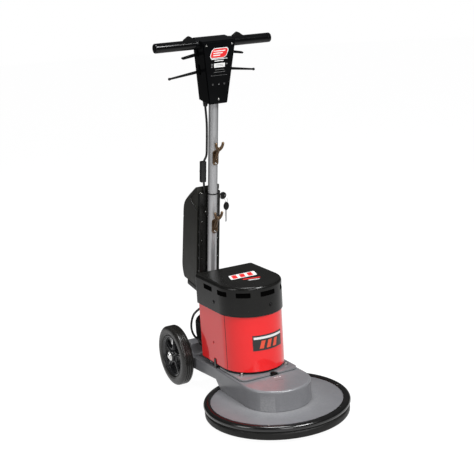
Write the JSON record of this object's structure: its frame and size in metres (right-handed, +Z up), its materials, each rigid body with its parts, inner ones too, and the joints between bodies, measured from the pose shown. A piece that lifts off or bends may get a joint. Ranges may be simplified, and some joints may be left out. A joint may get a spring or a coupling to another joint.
{
  "type": "rotary floor machine",
  "caption": "Upright single-disc floor polisher with a belt-driven round deck, bumper, transport wheels and a tilting handle that carries a battery pack.",
  "frame": {"origin": "where the drive spindle's axis meets the floor, on the floor pad's underside", "axes": "+Z up, front of the machine towards -Y, wheels and handle towards +Y, left (-X) and right (+X) are as seen from the front"},
  "size_m": [0.453, 0.7583, 1.1521],
  "materials": {
    "grey_paint": "satin",
    "black_rubber": "gloss",
    "black_steel": "satin",
    "zinc": "satin",
    "seal_rubber": "matt",
    "magnet": "matt",
    "red_plastic": "gloss",
    "cover_plastic": "satin",
    "belt_rubber": "matt",
    "bright_steel": "bright",
    "cable_rubber": "satin",
    "pulley_nylon": "satin",
    "holder_plastic": "matt",
    "pad_fibre": "fibrous",
    "copper": "satin",
    "tyre_rubber": "satin",
    "hub_plastic": "satin",
    "tube_paint": "satin",
    "head_plastic": "gloss",
    "panel_plastic": "satin",
    "button_plastic": "satin",
    "lever_plastic": "satin",
    "hook_bronze": "satin",
    "cradle_plastic": "satin",
    "battery_plastic": "satin",
    "key_plastic": "satin"
  },
  "bodies": {
    "base": {"deck_cover": "grey_paint", "bumper_ring": "black_rubber", "chassis_casting": "grey_paint", "motor_plate": "grey_paint", "adjuster_bolt": "black_steel", "plate_nut_left": "zinc", "plate_nut_right": "zinc", "jacket_clip_left": "zinc", "jacket_clip_right": "zinc", "seal_ring": "seal_rubber", "motor_can": "black_steel", "magnet_ring": "magnet", "jacket_front": "red_plastic", "jacket_rear": "red_plastic", "top_cover": "cover_plastic", "cover_screw_left": "black_steel", "cover_screw_front": "black_steel", "cover_screw_right": "black_steel", "drive_belt": "belt_rubber", "bearing_housing": "grey_paint", "spindle_bearing_upper": "bright_steel", "spindle_bearing_lower": "bright_steel", "axle": "zinc", "axle_nut_left": "zinc", "axle_nut_right": "zinc", "lock_drum": "bright_steel", "motor_cable": "cable_rubber"},
    "drive": {"spindle": "bright_steel", "spindle_pulley": "pulley_nylon", "pad_holder": "holder_plastic", "floor_pad": "pad_fibre"},
    "rotor": {"motor_shaft": "bright_steel", "armature": "copper", "motor_pulley": "bright_steel", "cooling_fan": "pulley_nylon"},
    "wheel_left": {"tyre_left": "tyre_rubber", "wheel_hub_left": "hub_plastic"},
    "wheel_right": {"tyre_right": "tyre_rubber", "wheel_hub_right": "hub_plastic"},
    "handle": {"tilt_yoke": "grey_paint", "handle_tube": "tube_paint", "head_shell": "head_plastic", "head_panel": "panel_plastic", "handlebar": "head_plastic", "head_cable": "cable_rubber", "cable_hook_upper": "hook_bronze", "cable_hook_lower": "hook_bronze", "battery_cradle": "cradle_plastic", "cable_tie": "cradle_plastic", "power_cable": "cable_rubber"},
    "switch_lever_left": {"switch_lever_left": "lever_plastic"},
    "switch_lever_right": {"switch_lever_right": "lever_plastic"},
    "lock_lever_left": {"lock_lever_left": "lever_plastic"},
    "lock_lever_right": {"lock_lever_right": "lever_plastic"},
    "lock_rod": {"lock_rod": "bright_steel"},
    "safety_button_left": {"safety_button_left": "button_plastic"},
    "safety_button_right": {"safety_button_right": "button_plastic"},
    "battery": {"battery_pack": "battery_plastic"},
    "lock_key": {"lock_key": "key_plastic"},
    "spare_key": {"spare_key": "key_plastic"}
  },
  "joints": [
    {"name": "handle_tilt", "type": "hinge", "parent": "base", "child": "handle", "pos_m": [0, 0.4318, 0.1], "axis": [-1, 0, 0], "range_deg": [0, 70]},
    {"name": "wheel_left_spin", "type": "hinge", "parent": "base", "child": "wheel_left", "pos_m": [-0.1315, 0.4318, 0.1], "axis": [1, 0, 0], "continuous": true},
    {"name": "wheel_right_spin", "type": "hinge", "parent": "base", "child": "wheel_right", "pos_m": [0.1315, 0.4318, 0.1], "axis": [1, 0, 0], "continuous": true},
    {"name": "drive_spin", "type": "hinge", "parent": "base", "child": "drive", "pos_m": [0, 0, 0.06], "axis": [0, 0, 1], "continuous": true},
    {"name": "motor_spin", "type": "hinge", "parent": "base", "child": "rotor", "pos_m": [0, 0.149, 0.2], "axis": [0, 0, 1], "continuous": true},
    {"name": "switch_lever_left_squeeze", "type": "hinge", "parent": "handle", "child": "switch_lever_left", "pos_m": [-0.02, 0.27862, 1.09988], "axis": [0, 0.987, 0.1607], "range_deg": [0, 12]},
    {"name": "switch_lever_right_squeeze", "type": "hinge", "parent": "handle", "child": "switch_lever_right", "pos_m": [0.02, 0.27862, 1.09988], "axis": [0, -0.987, -0.1607], "range_deg": [0, 12]},
    {"name": "lock_rod_lift", "type": "slide", "parent": "handle", "child": "lock_rod", "axis": [0, -0.1607, 0.987], "range_m": [0, 0.0026]},
    {"name": "lock_lever_left_squeeze", "type": "hinge", "parent": "handle", "child": "lock_lever_left", "pos_m": [0, 0.28536, 1.04728], "axis": [0, 0.987, 0.1607], "range_deg": [0, 15]},
    {"name": "lock_lever_right_squeeze", "type": "hinge", "parent": "handle", "child": "lock_lever_right", "pos_m": [0, 0.29089, 1.04818], "axis": [0, -0.987, -0.1607], "range_deg": [0, 15]},
    {"name": "safety_button_left_press", "type": "slide", "parent": "handle", "child": "safety_button_left", "axis": [0, 0.1607, -0.987], "range_m": [0, 0.004]},
    {"name": "safety_button_right_press", "type": "slide", "parent": "handle", "child": "safety_button_right", "axis": [0, 0.1607, -0.987], "range_m": [0, 0.004]},
    {"name": "battery_slide", "type": "slide", "parent": "handle", "child": "battery", "axis": [0, -0.1607, 0.987], "range_m": [0, 0.045]},
    {"name": "lock_key_turn", "type": "hinge", "parent": "handle", "child": "lock_key", "pos_m": [0.037, 0.36935, 0.62539], "axis": [1, 0, 0], "range_deg": [0, 90]},
    {"name": "spare_key_swing", "type": "hinge", "parent": "lock_key", "child": "spare_key", "pos_m": [0.058, 0.36935, 0.62539], "axis": [1, 0, 0], "range_deg": [-25, 25]}
  ],
  "couplings": [
    {"joint": "motor_spin", "follows": "drive_spin", "ratio": 5},
    {"joint": "lock_lever_left_squeeze", "follows": "lock_rod_lift", "rad_per_m": 100.68},
    {"joint": "lock_lever_right_squeeze", "follows": "lock_rod_lift", "rad_per_m": 100.68}
  ]
}
